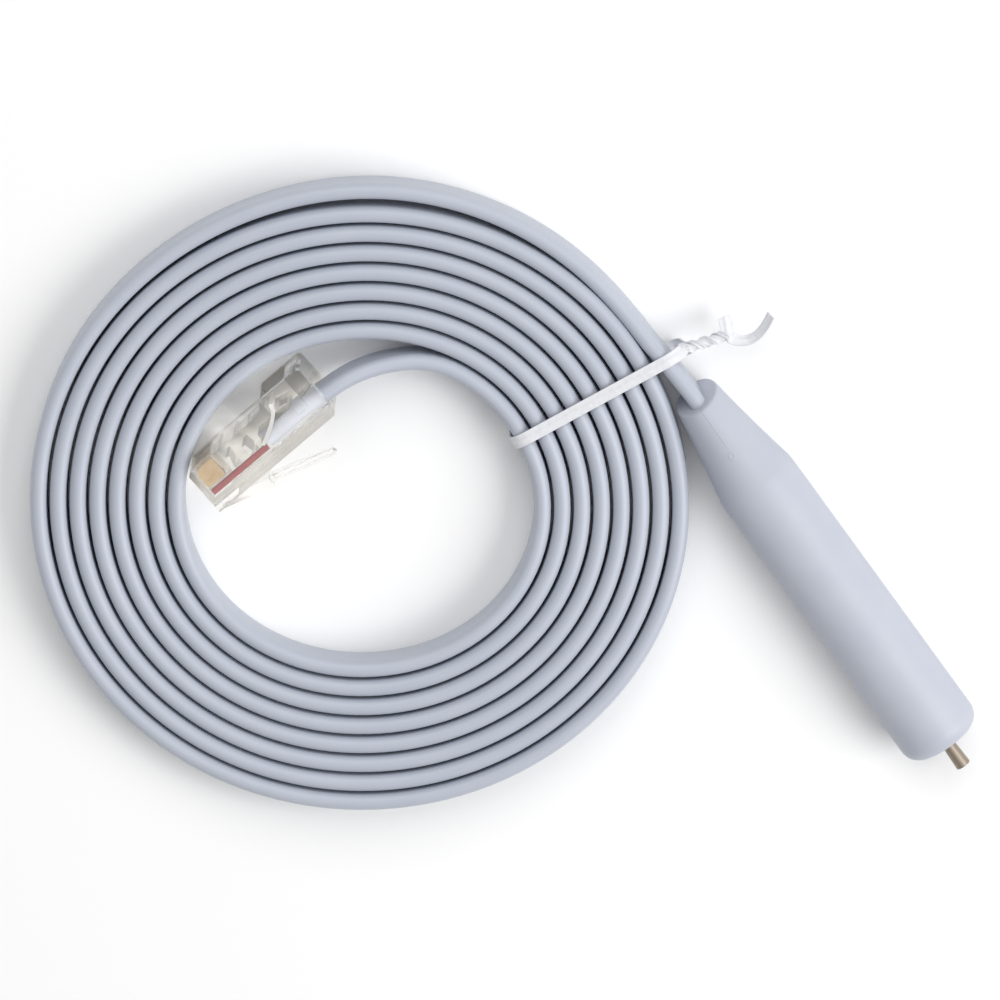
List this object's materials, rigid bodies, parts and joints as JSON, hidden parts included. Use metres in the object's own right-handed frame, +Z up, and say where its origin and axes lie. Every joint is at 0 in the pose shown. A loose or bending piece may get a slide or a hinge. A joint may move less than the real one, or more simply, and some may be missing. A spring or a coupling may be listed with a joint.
{
  "type": "rj45 console cable",
  "caption": "Flat modular cable wound into a coil, with a clear latching plug on its inner end and a moulded handle with a bare contact pin on its outer end.",
  "frame": {"origin": "on the floor under the middle of the whole object", "axes": "+Z up from the floor, +X from the coil towards the handle, +Y completes a right-handed frame"},
  "size_m": [0.1296, 0.0862, 0.0117],
  "materials": {
    "cable_jacket": "satin silver-blue PVC",
    "clear_plastic": "clear polycarbonate",
    "wire_insulation": "red insulation",
    "gold_contact": "gold-plated contact",
    "handle_plastic": "moulded pale blue-grey PVC",
    "pin_metal": "nickel-plated brass, cut square",
    "tie_paper": "white paper over wire"
  },
  "bodies": {
    "root": {"cable_coil": "cable_jacket", "plug_lead": "cable_jacket", "handle_lead": "cable_jacket", "plug_body": "clear_plastic", "wire_red": "wire_insulation", "contact_blade_1": "gold_contact", "contact_blade_2": "gold_contact", "contact_blade_3": "gold_contact", "contact_blade_4": "gold_contact", "contact_blade_5": "gold_contact", "contact_blade_6": "gold_contact", "contact_blade_7": "gold_contact", "contact_blade_8": "gold_contact", "handle": "handle_plastic", "contact_pin": "pin_metal", "twist_tie": "tie_paper"}
  },
  "joints": []
}
